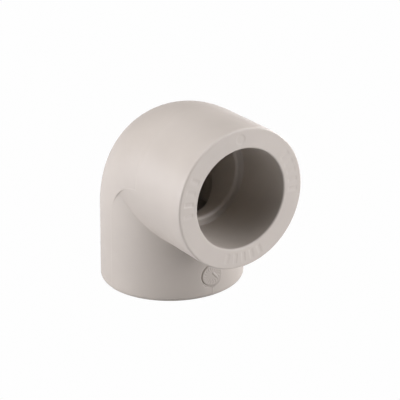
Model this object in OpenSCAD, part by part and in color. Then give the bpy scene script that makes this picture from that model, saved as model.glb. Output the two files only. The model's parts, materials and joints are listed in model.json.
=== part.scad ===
// Plain 90 degree elbow for 32 mm plastic pipe, with a socket at each end that the pipe is melted into.
// The origin is the centre of the lower socket's mouth, on the plane that the elbow stands on.
// +Z runs up the lower socket's axis and +X runs out of the side socket. Lengths are in millimetres.

/* [Sockets] */
// Diameter of the bore that grips the pipe
socket_bore_d = 30.7; // [30.4:0.1:31.2]
// Depth from the mouth to the shoulder that stops the pipe
socket_depth = 20; // [18:0.5:20]
// Width of the chamfer that leads the pipe into the bore
lead_in = 0.3; // [0.2:0.1:0.6]
// Diameter of the waterway behind the shoulder
waterway_d = 25; // [24.5:0.5:26.5]
// Radius on the edge between the shoulder and the waterway
shoulder_edge_r = 1; // [0.4:0.1:1.2]

/* [Body] */
// Distance from the point where the two axes cross to the face of each socket
centre_to_face = 36.8; // [36.4:0.1:40]
// Outside diameter at the mouth of each socket
mouth_d = 43.6; // [43:0.1:45]
// Outside diameter of the bend
bend_d = 43; // [42:0.1:43]
// Radius of the bend's centreline
bend_r = 14; // [13.4:0.1:14.4]
// Radius on the outer edge of each face
rim_r = 1.2; // [0.4:0.1:1.5]

/* [Gate mark] */
// Diameter of the round flat where the plastic was let into the mould
gate_d = 7.2; // [6:0.1:9]
// Height of its centre above the lower face
gate_z = 6.8; // [6:0.1:9]
// Depth of the flat at its middle
gate_depth = 0.6; // [0.4:0.1:1]
// Diameter of the stub of trimmed plastic left in the flat
stub_d = 1.6; // [1:0.1:3]

/* [Face marks] */
// Depth of the plain marks sunk in the side socket's face
mark_depth = 0.2; // [0.1:0.1:0.5]
// Length of each mark, towards the axis
mark_length = 3; // [2:0.5:3.5]
// Width of each mark, around the axis
mark_width = 1.2; // [0.8:0.1:2]

/* [Hidden] */
$fn = 96;
mouth_r = mouth_d / 2;
outer_r = bend_d / 2;
bore_r = socket_bore_d / 2;
way_r = waterway_d / 2;
straight = centre_to_face - bend_r; // from a mouth to where the bend starts
mark_r = (bore_r + mouth_r) / 2; // radius of the ring that the marks lie on
past = 1; // how far a cutter runs beyond the surface that it opens
far = 2 * centre_to_face; // longer than the elbow in any direction

// Rows of marks, each with its first angle from +Y towards +Z, its step and its count
mark_rows = [[-4, 9, 5], [150, 11, 4], [-106, 9, 5]];

// Draws its children on the lower socket, and mirrored across the mitre plane on the side socket
module at_both_sockets() {
    children();
    translate([0, 0, centre_to_face])
        mirror([1, 0, 1])
            translate([0, 0, -centre_to_face])
                children();
}

// Turns a profile about the bend's centre, from the lower socket towards the side socket
module bend_turn(angle) {
    translate([bend_r, 0, straight])
        rotate([90, 0, 0])
            rotate([0, 0, 180 - angle])
                rotate_extrude(angle = angle)
                    children();
}

// Everything on the lower socket's side of the mitre plane
module lower_half_space() {
    translate([0, 0, centre_to_face])
        rotate([0, 45, 0])
            translate([-far, -far, -2 * far])
                cube([2 * far, 2 * far, 2 * far]);
}

// Bend profile outside the centreline
module outer_half_disc(r) {
    intersection() {
        translate([bend_r, 0]) circle(r);
        translate([bend_r, -r]) square([r + past, 2 * r]);
    }
}

// Bend profile inside the centreline, tall enough to clear a tube of radius r
module inner_strip(r) {
    translate([0, -r - past]) square([bend_r, 2 * (r + past)]);
}

// Half of a socket's outside in section: slightly tapered, with a rounded outer edge
module socket_section() {
    polygon([[0, 0], [mouth_r - rim_r, 0], [mouth_r - rim_r, rim_r], [mouth_r, rim_r],
             [outer_r, straight], [0, straight]]);
    intersection() {
        translate([mouth_r - rim_r, rim_r]) circle(rim_r);
        translate([mouth_r - rim_r, 0]) square(rim_r);
    }
}

// Solid outside of one socket and its half of the bend: swept outside the centreline, straight inside it
module half_outside() {
    intersection() {
        rotate_extrude() socket_section();
        lower_half_space();
    }
    bend_turn(45) outer_half_disc(outer_r);
    intersection() {
        cylinder(r = outer_r, h = centre_to_face);
        bend_turn(45) inner_strip(outer_r);
    }
}

// Half of a socket's inside in section: lead-in, bore, flat shoulder with a rounded edge, waterway
module bore_section() {
    polygon([[0, -past], [bore_r + lead_in + past, -past], [bore_r, lead_in], [bore_r, socket_depth],
             [way_r, socket_depth], [way_r, straight], [0, straight]]);
    difference() {
        translate([way_r, socket_depth]) square(shoulder_edge_r);
        translate([way_r + shoulder_edge_r, socket_depth + shoulder_edge_r]) circle(shoulder_edge_r);
    }
}

// Hollow of one socket and of the straight core that meets its twin in the bend
module half_inside() {
    rotate_extrude() bore_section();
    intersection() {
        cylinder(r = way_r, h = centre_to_face + way_r + past);
        bend_turn(90) {
            outer_half_disc(way_r);
            inner_strip(way_r);
        }
    }
}

// Round flat on the lower socket's inner side, cut around the stub left by the gate
module gate_flat() {
    translate([mouth_r - gate_depth, 0, gate_z])
        rotate([0, 90, 0])
            difference() {
                cylinder(d = gate_d, h = gate_depth + past);
                translate([0, 0, -past]) cylinder(d = stub_d, h = gate_depth + past);
            }
}

// Plain bars and one dot, where such a fitting carries its size and material
module face_marks() {
    translate([centre_to_face - mark_depth, 0, centre_to_face])
        rotate([90, 0, 90]) {
            for (row = mark_rows, i = [0 : row[2] - 1])
                rotate([0, 0, row[0] + i * row[1]])
                    translate([mark_r - mark_length / 2, -mark_width / 2, 0])
                        cube([mark_length, mark_width, mark_depth + past]);
            translate([0, mark_r, 0]) cylinder(d = mark_length, h = mark_depth + past);
        }
}

module elbow_body() {
    color([0.80, 0.77, 0.73])
        difference() {
            at_both_sockets() half_outside();
            at_both_sockets() half_inside();
            gate_flat();
            face_marks();
        }
}

elbow_body();
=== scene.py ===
import json
import math

import bpy
import numpy as np
from mathutils import Matrix, Vector


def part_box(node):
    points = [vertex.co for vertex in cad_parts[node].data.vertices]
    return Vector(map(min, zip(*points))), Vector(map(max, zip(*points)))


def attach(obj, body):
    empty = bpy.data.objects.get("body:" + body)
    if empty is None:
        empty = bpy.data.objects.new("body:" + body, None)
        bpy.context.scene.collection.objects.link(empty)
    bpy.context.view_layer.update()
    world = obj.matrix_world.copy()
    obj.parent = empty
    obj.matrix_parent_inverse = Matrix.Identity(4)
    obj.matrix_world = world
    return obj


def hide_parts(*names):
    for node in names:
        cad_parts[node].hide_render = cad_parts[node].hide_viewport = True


# A one-piece moulded plastic 90 degree pipe elbow, standing on its lower socket on a white floor.
# The moulding is built in millimetres in the part's own frame, and scaled to metres when it becomes a mesh.
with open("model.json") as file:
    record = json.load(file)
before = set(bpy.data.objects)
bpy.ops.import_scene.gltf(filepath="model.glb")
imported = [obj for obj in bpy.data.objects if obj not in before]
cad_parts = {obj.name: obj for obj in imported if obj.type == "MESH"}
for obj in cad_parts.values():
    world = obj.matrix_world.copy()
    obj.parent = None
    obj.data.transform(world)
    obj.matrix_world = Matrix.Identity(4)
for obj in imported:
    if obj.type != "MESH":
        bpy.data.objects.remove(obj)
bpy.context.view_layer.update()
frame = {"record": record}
record = frame["record"]
low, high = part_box("elbow_body")

MM = 0.001

# Sizes from the frame
FACE = high.x / MM                        # from the crossing of the axes to each socket's face
MOUTH_R = high.y / MM                     # outside radius at each mouth
BORE_R = record["mounts"][0]["dims"]["r_mm"]

# Outside
BEND_R = 14.0                             # radius of the bend's centreline
BODY_R = 21.5                             # outside radius where a socket ends
RIM_LOWER = 1.2                           # rounding of the lower face's outer edge
RIM_SIDE = 0.6                            # rounding of the side face's outer edge
CREASE = 0.3                              # reach of the blend where the inner halves of the limbs meet
FAN_START = 11.5                          # height above a mouth where the rings start to fan out
STRAIGHT = FACE - BEND_R                  # length of each socket, up to the start of the bend
CURVE_END = STRAIGHT + BEND_R * math.pi / 4   # where the two limbs meet, along the centreline

# Outer half of the bend and of the lower socket. It is drawn slightly inwards, apart from a lip.
STEP = 0.09                               # how far it is drawn inwards from its true radius
STEP_EDGE = 0.35                          # width of the rounded edge of the drop
LIP = 0.10                                # height of the lip, at the bend's edge beside its inner half
LIP_EDGE = 0.5                            # width of the lip's steep side
LIP_REACH = 3.5                           # width of its gentle side
LIP_FADE = 0.45                           # angle from each end of the bend over which it grows, in radians

# Inside
LEAD_IN = 0.3                             # chamfer at each mouth
BORE_TAPER = 0.1                          # how much a bore widens or narrows about its middle
SHOULDER = 20.0                           # depth of the shoulder that stops the pipe
SHOULDER_EDGE = 1.0                       # rounding of the shoulder's inner edge
WAY_R = 12.5                              # radius of the waterway

# Gate mark, on the lower socket's inner side
GATE_Z = 6.8                              # height of its centre
GATE_R = 3.55
GATE_MESH = (2.8, 11.4)                   # heights between which the lower socket has closer rings
GATE_DEPTH = 0.45                         # depth at its middle
GATE_TILT = 0.05                          # slope of its flat, which is deeper on the -Y side
GATE_EDGE = 0.15                          # width of its steep edge
GATE_PROUD = 0.12                         # most that the flat may stand above the socket's wall
GATE_GROOVE = 0.6                         # depth of the narrow groove along its -Y edge
GATE_GROOVE_R = 0.23                      # half the groove's width
GROOVE_END_Y, GROOVE_FADE = 1.0, 2.5      # where the groove ends, and the length over which it fades
NUB_FROM, NUB_TO = (0.5, 7.3), (1.7, 5.9)     # ends of the torn stub, as (y, z)
NUB_R = 0.32                              # width of the stub's sloping side
NUB_SPREAD = 1.3                          # where that side ends, in the same widths from the stub's middle
NUB_HEIGHT = 0.25
SCRATCH_COUNT, SCRATCH_DEPTH = 17, 0.045  # scratches that run out from the flat's middle
SCRATCH_START, SCRATCH_FADE = 0.6, 0.8    # where they start, and the length over which they grow
SCRATCH_MARGIN = 0.5                      # width beside the flat's edge over which they fade again
SCRATCH_TURN, SCRATCH_RATE = 2.0, 2.3     # how far they sway, in radians of phase, and how often
PARTING_HEIGHT, PARTING_R = 0.07, 0.22    # parting line below the gate, and half its width
PARTING_FADE, PARTING_END = 0.3, 0.2      # length over which it starts, and its end above the lower face

# Plain marks on the side face: one dot, and rows of bars. Each row has its first angle from +Y towards +Z,
# its step and its count.
MARK_ROWS = [(-4, 9, 5), (150, 11, 4), (-106, 9, 5)]
MARK_DEPTH = 0.1
MARK_LENGTH = 3.0
MARK_WIDTH = 1.2
MARK_EDGE = 0.45                          # width of a mark's soft edge
MARK_R = (BORE_R + MOUTH_R) / 2

# Camera
CAMERA_AZIMUTH = -34.43                   # from +X, seen from above
CAMERA_ELEVATION = 23.06
CAMERA_ROLL = 0.79
CAMERA_DISTANCE = 0.8472
CAMERA_LENS = 254.7
AIM_RIGHT, AIM_UP = 0.00464, -0.00262     # from the middle of the object's box, across and up the view

# Plastic
PLASTIC = (0.372, 0.330, 0.284)
TONE_RANGE = (0.97, 1.03)                 # clouding of the colour
ROUGHNESS_RANGE = (0.46, 0.56)
CLOUD_SCALE, SHEEN_SCALE = 60, 220
GRAIN_SEED = 7.0
GRAIN = [(300, 2, 3, 0.08), (2600, 3, 2, 0.03)]   # scale, detail, shift of the seed and depth in mm
GRAIN_STRENGTH = 0.25
REFRACTION = 1.49

# Floor and lights
FLOOR_HALF = 2.5                          # half the width of the floor, in metres
FLOOR_DROP, BOUNCE_DROP = 0.05, 0.15      # how far the floor and the sheet below it lie under the object
FLOOR_GLOW = 0.99
BOUNCE_WHITE = 0.6
LIGHT_DISTANCE = 1.2
LIGHT_SIZE = 0.7
LIGHT_COLOUR = (0.925, 0.935, 1.0)
WORLD_LIGHT = 0.0                         # none: the lamps and the sheet below the floor do it all
SOFTBOXES = [                             # name, azimuth to the camera's right, elevation, power in watts
    ("left_low", -80, 4, 25.0),
    ("left_high", -80, 72, 16.0),
    ("right_low", 70, 4, 17.6),
    ("right_high", 70, 38, 8.6),
    ("behind_low", 140, 4, 24.0),
]


def smooth(t):
    """Eases from 0 to 1 as t goes from 0 to 1."""
    t = np.clip(t, 0, 1)
    return t * t * (3 - 2 * t)


def spaced(stops):
    """Values through (value, step) stops: each stretch is divided into steps of about its own size."""
    values = [stops[0][0]]
    for (start, step), (end, _) in zip(stops, stops[1:]):
        count = max(1, round(abs(end - start) / step))
        values += [start + (end - start) * (i + 1) / count for i in range(count)]
    return np.array(values)


def column_angles():
    """Angles of the columns round a limb, closest at the gate, at the outer half's edge and at the dot."""
    edge = math.degrees(STEP_EDGE / BODY_R)
    half = spaced([(0, 0.35), (11, 1.0), (86, 0.4), (90, edge / 4), (90 + edge, 0.5), (100, 1.4), (173, 0.8),
                   (180, 1)])
    return np.radians(np.concatenate([half, 360 - half[-2:0:-1]]))


def wall_radius(z):
    """Outside radius of a limb at height z from its mouth: a slight taper as far as the bend."""
    return MOUTH_R + (BODY_R - MOUTH_R) * np.clip(z / STRAIGHT, 0, 1)


def limb_points(rings, theta, fan_start, core_r):
    """Points and outward normals of one limb, whose mouth is at the origin.

    A ring is (distance along the centreline, radius). The outer half goes straight up and then round the
    bend. The inner half is straight, with the radius core_r where it meets the other limb. Its rings fan out
    past fan_start, and its edge columns follow the centreline.
    """
    along, radius = rings[:, :1], rings[:, 1:]
    sweep = np.maximum(along - STRAIGHT, 0) / BEND_R
    curve_x = BEND_R * (1 - np.cos(sweep))
    curve_z = np.minimum(along, STRAIGHT) + BEND_R * np.sin(sweep)
    out = -radius * np.cos(theta)
    swept = np.stack([curve_x - out * np.cos(sweep), radius * np.sin(theta) + 0 * out,
                      curve_z + out * np.sin(sweep)], -1)
    swept_normals = np.stack([np.cos(theta) * np.cos(sweep), np.sin(theta) + 0 * sweep,
                              -np.cos(theta) * np.sin(sweep)], -1)

    turn = np.where(theta > math.pi, theta - 2 * math.pi, theta) / (math.pi / 2)
    end_x = BEND_R * (1 - math.cos(math.pi / 4))
    angle = turn * np.arccos(curve_x / core_r)
    end_z = FACE - core_r * np.cos(turn * math.acos(end_x / core_r))
    stretch = (end_z - fan_start) / (FACE - end_x - fan_start)
    z = np.where(along > fan_start, fan_start + (curve_z - fan_start) * stretch, along)
    core = np.stack([radius * np.cos(angle), radius * np.sin(angle), z], -1)
    core_normals = np.stack([np.cos(angle), np.sin(angle), 0 * angle], -1)
    is_outer = (np.cos(theta) < -1e-9)[..., None]
    return np.where(is_outer, swept, core), np.where(is_outer, swept_normals, core_normals)


def waterway_points(rings, theta):
    """Points of a waterway, whose swept outer half stays within the straight core."""
    points, _ = limb_points(rings, theta, SHOULDER + SHOULDER_EDGE, WAY_R)
    x, y, z = np.moveaxis(points, -1, 0)
    room = np.sqrt(np.maximum(WAY_R ** 2 - x ** 2, 0))
    return np.stack([x, np.sign(y) * np.minimum(np.abs(y), room), z], -1)


def soften_crease(points, theta):
    """Fills the corner where the inner halves of the limbs meet with a small blend."""
    x, y, z = np.moveaxis(points, -1, 0)
    own = np.stack([x, y, 0 * z], -1) / np.hypot(x, y)[..., None]
    far = np.hypot(y, z - FACE)
    other = np.stack([0 * x, y, z - FACE], -1) / far[..., None]
    gap = np.abs(far - wall_radius(FACE - x))
    near = np.clip(1 - gap / CREASE, 0, 1) * (np.cos(theta) > -1e-9)
    weight = near[..., None] / 2
    blend = (1 - weight) * own + weight * other
    rise = near ** 2 * CREASE / 4
    return points + blend * (rise / (blend ** 2).sum(-1))[..., None]


def shape_outer_half(points, normals, rings, theta, is_lower):
    """Lowers the outer half of the bend and of the lower socket, and raises the bend's edge into a lip."""
    past = rings[:, :1] - STRAIGHT
    across = np.maximum(-np.cos(theta), 0) * BODY_R
    in_half = smooth(across / STEP_EDGE)
    drop = STEP * in_half * (1 if is_lower else smooth(past / STEP_EDGE))
    middle = smooth(past / BEND_R / LIP_FADE)
    lip = LIP * middle * smooth(across / LIP_EDGE) * np.clip(1 - across / LIP_REACH, 0, 1) ** 2
    is_outer = np.cos(theta) < -1e-9
    return points + normals * ((lip - drop) * is_outer)[..., None]


def cut_gate(points):
    """Cuts the tilted round flat of the gate into the lower socket, with its torn stub and a parting line."""
    x, y, z = np.moveaxis(points, -1, 0)
    up = z - GATE_Z
    far = np.hypot(y, up)
    front = (np.abs(y) < 2 * GATE_R) & (x > 0)
    sway = SCRATCH_TURN * np.sin(SCRATCH_RATE * far)
    scratches = SCRATCH_DEPTH * np.sin(SCRATCH_COUNT * np.arctan2(up, y) + sway)
    scratches = scratches * smooth((far - SCRATCH_START) / SCRATCH_FADE)
    scratches = scratches * smooth((GATE_R - SCRATCH_MARGIN - far) / SCRATCH_MARGIN)
    flat = MOUTH_R - GATE_DEPTH + GATE_TILT * y + scratches

    along = np.array(NUB_TO) - np.array(NUB_FROM)
    t = ((y - NUB_FROM[0]) * along[0] + (z - NUB_FROM[1]) * along[1]) / (along ** 2).sum()
    t = np.clip(t, 0, 1)
    from_nub = np.hypot(y - NUB_FROM[0] - t * along[0], z - NUB_FROM[1] - t * along[1])
    flat = flat + NUB_HEIGHT * smooth(NUB_SPREAD - from_nub / NUB_R)

    inside = smooth((GATE_R - far) / GATE_EDGE + 0.5)
    cut = np.minimum(flat - x, GATE_PROUD) * inside
    groove = GATE_GROOVE * np.exp(-((far - GATE_R) / GATE_GROOVE_R) ** 2)
    groove = groove * smooth((GROOVE_END_Y - y) / GROOVE_FADE)
    parting = PARTING_HEIGHT * np.exp(-(y / PARTING_R) ** 2)
    parting = parting * smooth((GATE_Z - GATE_R - z) / PARTING_FADE) * (z > PARTING_END)
    points[..., 0] += np.where(front, cut - groove + parting, 0)
    return points


def mark_face(points, radius, theta):
    """Sinks the plain bars and the dot into the side socket's face."""
    depth = np.zeros(np.broadcast(radius, theta).shape)
    for first, step, count in MARK_ROWS:
        for i in range(count):
            turn = theta - math.radians(first + i * step + 90)      # theta starts from -Z on this face
            across = radius * np.abs(np.arctan2(np.sin(turn), np.cos(turn)))
            sides = smooth((MARK_WIDTH / 2 - across) / MARK_EDGE + 0.5)
            ends = smooth((MARK_LENGTH / 2 - np.abs(radius - MARK_R)) / MARK_EDGE + 0.5)
            depth = np.maximum(depth, sides * ends)
    from_dot = np.hypot(radius * np.cos(theta) + MARK_R, radius * np.sin(theta))
    depth = np.maximum(depth, smooth((MARK_LENGTH / 2 - from_dot) / MARK_EDGE + 0.5))
    points[..., 2] += MARK_DEPTH * depth
    return points


def outside_rings(rim, is_lower):
    """Rings down the outside of a limb, from where the limbs meet to the start of its rim."""
    base, top = GATE_MESH
    if is_lower:
        bottom = spaced([(top, 0.18), (base, 0.6), (rim, 1)])
    else:
        bottom = spaced([(top, 2.0), (rim, 1)])
    bend = spaced([(CURVE_END, 0.25), (CURVE_END - 1.5, 0.5), (STRAIGHT + STEP_EDGE, STEP_EDGE / 4),
                   (STRAIGHT, 0.9), (top, 1)])
    along = np.concatenate([bend, bottom[1:]])
    return np.stack([along, wall_radius(along)], -1)


def arc_rings(centre_along, centre_radius, size, start, end, count):
    """Rings round a quarter circle in section. Angles are from the radial direction towards the bend."""
    t = np.radians(np.linspace(start, end, count + 1))
    return np.stack([centre_along + size * np.sin(t), centre_radius + size * np.cos(t)], -1)


def inside_rings():
    """Rings from the mouth's chamfer up the bore and over the shoulder, and the waterway's rings past it."""
    mouth, end = BORE_R + BORE_TAPER, BORE_R - BORE_TAPER
    bore = [(LEAD_IN, mouth), (LEAD_IN + 0.15, mouth), (7, mouth - BORE_TAPER * 0.7),
            (14, end + BORE_TAPER * 0.6), (SHOULDER - 0.5, end), (SHOULDER - 0.15, end - 0.03),
            (SHOULDER, end - 0.2)]
    shelf = [(SHOULDER, WAY_R + SHOULDER_EDGE + 0.6)]
    edge = arc_rings(SHOULDER + SHOULDER_EDGE, WAY_R + SHOULDER_EDGE, SHOULDER_EDGE, -90, -180, 6)
    along = spaced([(SHOULDER + SHOULDER_EDGE, 0.9), (STRAIGHT, 1.1), (CURVE_END - 0.3, 0.15),
                    (CURVE_END, 1)])
    way = np.stack([along[1:], np.full(len(along) - 1, WAY_R)], -1)
    return np.concatenate([bore, shelf, edge]), way


def limb(theta, rim, is_lower):
    """One limb with its mouth at the origin, as rings from the outside of the bend to its waterway."""
    outside = np.concatenate([outside_rings(rim, is_lower),
                              arc_rings(rim, wall_radius(rim) - rim, rim, 0, -90, 7)[1:]])
    points, normals = limb_points(outside, theta, FAN_START, BODY_R)
    points = shape_outer_half(points, normals, outside, theta, is_lower)
    points = soften_crease(points, theta)
    face_step = 2.0 if is_lower else 0.25       # closer rings for the marks on the side face
    radii = spaced([(wall_radius(rim) - rim, face_step), (BORE_R + BORE_TAPER + LEAD_IN, 1)])[1:, None]
    face = np.stack(np.broadcast_arrays(radii * np.cos(theta), radii * np.sin(theta), 0.0), -1)
    if is_lower:
        points = cut_gate(points)
    else:
        face = mark_face(face, radii, theta)
    inside, way = inside_rings()
    bore, _ = limb_points(inside, theta, FACE, WAY_R)
    return np.concatenate([points, face, bore, waterway_points(way, theta)])


def elbow():
    """The whole moulding: the lower limb and its mirrored twin, joined in one closed skin."""
    theta = column_angles()[None, :]
    lower = limb(theta, RIM_LOWER, True)
    side = limb(theta, RIM_SIDE, False)
    side = np.stack([FACE - side[..., 2], side[..., 1], FACE - side[..., 0]], -1)
    rings = np.concatenate([lower, side[-2:0:-1]])
    n, m = rings.shape[:2]
    i, j = np.meshgrid(np.arange(n), np.arange(m), indexing="ij")
    corner = [(i, j), (i + 1, j), (i + 1, j + 1), (i, j + 1)]
    quads = np.stack([(a % n) * m + b % m for a, b in corner], -1).reshape(-1, 4)
    mesh = bpy.data.meshes.new("elbow")
    mesh.from_pydata((rings.reshape(-1, 3) * MM).tolist(), [], quads.tolist())
    mesh.polygons.foreach_set("use_smooth", [True] * len(mesh.polygons))
    mesh.update()
    piece = bpy.data.objects.new("elbow", mesh)
    bpy.context.scene.collection.objects.link(piece)
    return piece


def new_material(name):
    """A node material and its Principled shader."""
    material = bpy.data.materials.new(name)
    material.use_nodes = True
    return material, material.node_tree.nodes["Principled BSDF"]


def noise(tree, vector, scale, detail, seed):
    """A noise texture on the object's own coordinates."""
    node = tree.nodes.new("ShaderNodeTexNoise")
    node.noise_dimensions = "4D"
    node.inputs["W"].default_value = seed
    node.inputs["Scale"].default_value = scale
    node.inputs["Detail"].default_value = detail
    tree.links.new(vector, node.inputs["Vector"])
    return node.outputs["Fac"]


def ramp(tree, factor, low_value, high_value):
    """Maps a noise to colours or greys between two values."""
    node = tree.nodes.new("ShaderNodeValToRGB")
    node.color_ramp.elements[0].position = 0.3
    node.color_ramp.elements[1].position = 0.7
    node.color_ramp.elements[0].color = (*low_value, 1)
    node.color_ramp.elements[1].color = (*high_value, 1)
    tree.links.new(factor, node.inputs["Fac"])
    return node.outputs["Color"]


def plastic_material():
    """Satin moulded polypropylene: faint clouding of its colour and gloss, and a fine grain."""
    material, shader = new_material("grey_polypropylene")
    tree = material.node_tree
    place = tree.nodes.new("ShaderNodeTexCoord").outputs["Object"]
    cloud = noise(tree, place, CLOUD_SCALE, 3, GRAIN_SEED)
    tone = [tuple(c * k for c in PLASTIC) for k in TONE_RANGE]
    tree.links.new(ramp(tree, cloud, *tone), shader.inputs["Base Color"])
    sheen = noise(tree, place, SHEEN_SCALE, 4, GRAIN_SEED + 1)
    roughness = [(value,) * 3 for value in ROUGHNESS_RANGE]
    tree.links.new(ramp(tree, sheen, *roughness), shader.inputs["Roughness"])
    shader.inputs["IOR"].default_value = REFRACTION
    bump = None
    for scale, detail, shift, depth in GRAIN:
        node = tree.nodes.new("ShaderNodeBump")
        node.inputs["Strength"].default_value = GRAIN_STRENGTH
        node.inputs["Distance"].default_value = depth * MM
        tree.links.new(noise(tree, place, scale, detail, GRAIN_SEED + shift), node.inputs["Height"])
        if bump is not None:
            tree.links.new(bump.outputs["Normal"], node.inputs["Normal"])
        bump = node
    tree.links.new(bump.outputs["Normal"], shader.inputs["Normal"])
    return material


def floor_sheet(name, drop, white, glow):
    """A large flat sheet, a drop below the object's foot."""
    material, shader = new_material(name)
    shader.inputs["Base Color"].default_value = (white, white, white, 1)
    shader.inputs["Roughness"].default_value = 1.0
    shader.inputs["Specular IOR Level"].default_value = 0.0
    shader.inputs["Emission Color"].default_value = (1, 1, 1, 1)
    shader.inputs["Emission Strength"].default_value = glow
    height = low.z - drop * MM
    corners = [(-1, -1), (1, -1), (1, 1), (-1, 1)]
    mesh = bpy.data.meshes.new(name)
    mesh.from_pydata([(x * FLOOR_HALF, y * FLOOR_HALF, height) for x, y in corners], [], [(0, 1, 2, 3)])
    mesh.materials.append(material)
    sheet = bpy.data.objects.new(name, mesh)
    bpy.context.scene.collection.objects.link(sheet)
    return sheet


def white_floor():
    """A plain white floor without shadows, and a sheet below it that reflects the lights onto the object."""
    floor = floor_sheet("floor", FLOOR_DROP, 0.0, FLOOR_GLOW)
    floor.visible_diffuse = floor.visible_glossy = floor.visible_shadow = False
    bounce = floor_sheet("floor_bounce", BOUNCE_DROP, BOUNCE_WHITE, 0.0)
    bounce.visible_camera = False


def direction(azimuth, elevation):
    """Unit vector at an azimuth from +X and an elevation, both in degrees."""
    a, e = math.radians(azimuth), math.radians(elevation)
    return Vector((math.cos(a) * math.cos(e), math.sin(a) * math.cos(e), math.sin(e)))


def softbox(name, azimuth, elevation, power):
    """A square area light, aimed at the object from an azimuth counted to the camera's right."""
    light = bpy.data.lights.new(name, "AREA")
    light.size = LIGHT_SIZE
    light.energy = power
    light.color = LIGHT_COLOUR
    towards = direction(CAMERA_AZIMUTH + azimuth, elevation)
    lamp = bpy.data.objects.new(name, light)
    lamp.location = (low + high) / 2 + towards * LIGHT_DISTANCE
    lamp.rotation_euler = towards.to_track_quat("Z", "Y").to_euler()
    bpy.context.scene.collection.objects.link(lamp)


def studio_world():
    """A world that adds its own even light to the lamps'."""
    world = bpy.data.worlds.new("studio")
    world.use_nodes = True
    background = world.node_tree.nodes["Background"]
    background.inputs["Color"].default_value = (1, 1, 1, 1)
    background.inputs["Strength"].default_value = WORLD_LIGHT
    bpy.context.scene.world = world


def photo_camera():
    """The camera, placed by its angles and distance from the middle of the object's box."""
    back = direction(CAMERA_AZIMUTH, CAMERA_ELEVATION)
    level = Vector((0, 0, 1)).cross(back).normalized()
    upright = back.cross(level)
    roll = math.radians(CAMERA_ROLL)
    right = level * math.cos(roll) - upright * math.sin(roll)
    up = level * math.sin(roll) + upright * math.cos(roll)
    aim = (low + high) / 2 + right * AIM_RIGHT + up * AIM_UP
    data = bpy.data.cameras.new("camera")
    data.lens = CAMERA_LENS
    data.sensor_width = 36
    data.clip_end = 20
    camera = bpy.data.objects.new("camera", data)
    turn = Matrix((right, up, back)).transposed()
    camera.matrix_world = Matrix.Translation(aim + back * CAMERA_DISTANCE) @ turn.to_4x4()
    bpy.context.scene.collection.objects.link(camera)
    bpy.context.scene.camera = camera


photo_camera()
white_floor()
for box in SOFTBOXES:
    softbox(*box)
studio_world()
bpy.context.scene.view_settings.view_transform = "Standard"

body = elbow()
body.data.materials.append(plastic_material())
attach(body, "root")
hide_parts("elbow_body")
